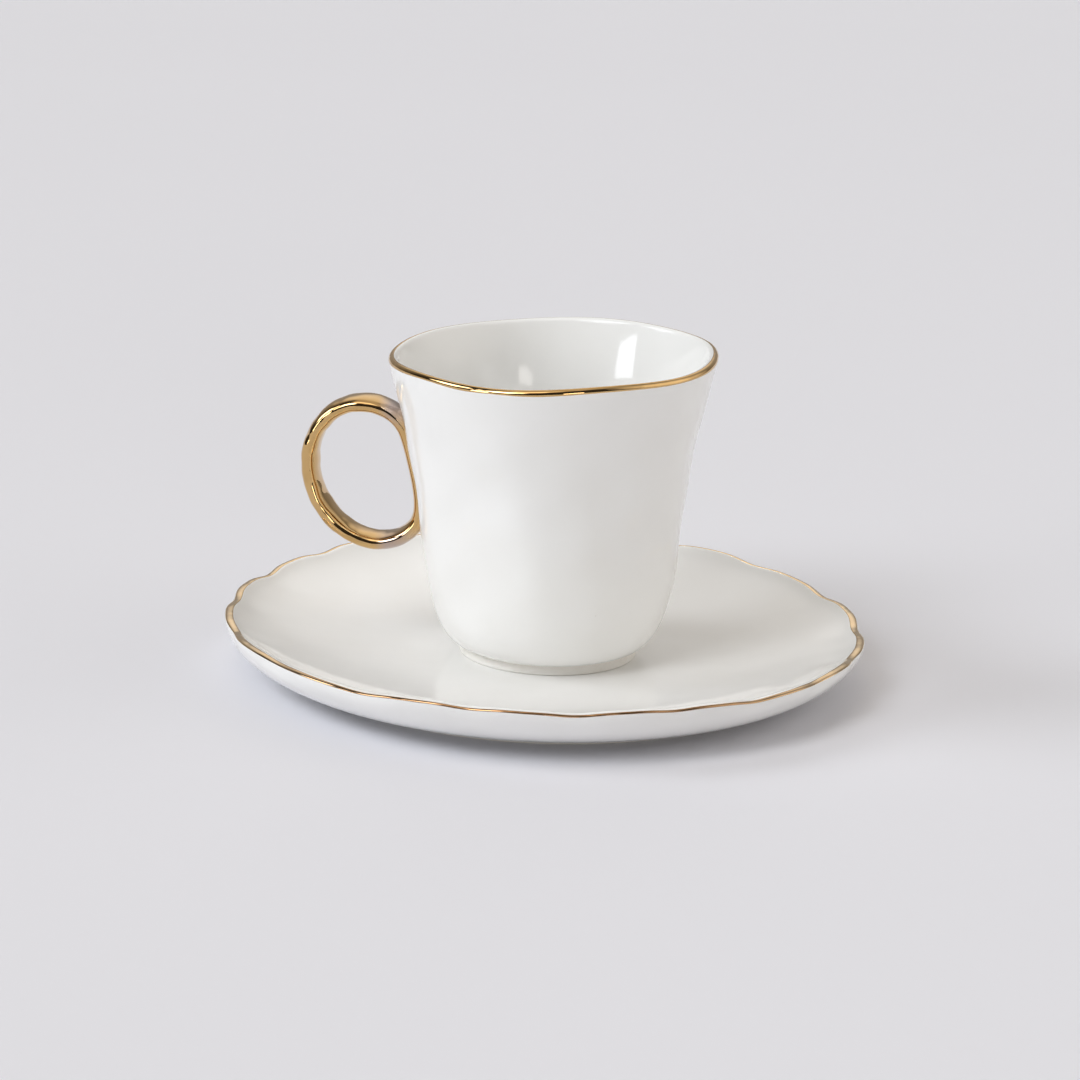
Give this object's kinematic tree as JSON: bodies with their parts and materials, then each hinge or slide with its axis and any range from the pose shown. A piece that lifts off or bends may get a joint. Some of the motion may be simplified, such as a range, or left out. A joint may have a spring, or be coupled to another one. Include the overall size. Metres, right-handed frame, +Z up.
{
  "type": "espresso cup and saucer",
  "caption": "Small flared porcelain cup with a ring handle, standing in the well of a shallow saucer with a wavy lip; both lips and the handle are gold.",
  "frame": {"origin": "on the table under the middle of the saucer and cup", "axes": "+Z up along the axis of the cup and saucer, -X towards the handle, which is turned 9 degrees from it"},
  "size_m": [0.1249, 0.1269, 0.0657],
  "materials": {
    "porcelain_glaze": "glossy clear glaze on warm white porcelain",
    "bare_porcelain": "unglazed, wiped and ground flat",
    "gold_lustre": "bright gold lustre fired over the glaze"
  },
  "bodies": {
    "saucer": {"saucer_body": "porcelain_glaze", "saucer_foot_ring": "bare_porcelain", "saucer_rim_gilding": "gold_lustre"},
    "cup": {"cup_body": "porcelain_glaze", "cup_foot_ring": "bare_porcelain", "cup_rim_gilding": "gold_lustre", "cup_handle": "gold_lustre", "handle_slip": "porcelain_glaze"}
  },
  "joints": [
    {"name": "cup_lift", "type": "slide", "parent": "saucer", "child": "cup", "axis": [0, 0, 1], "range_m": [0, 0.1]}
  ]
}
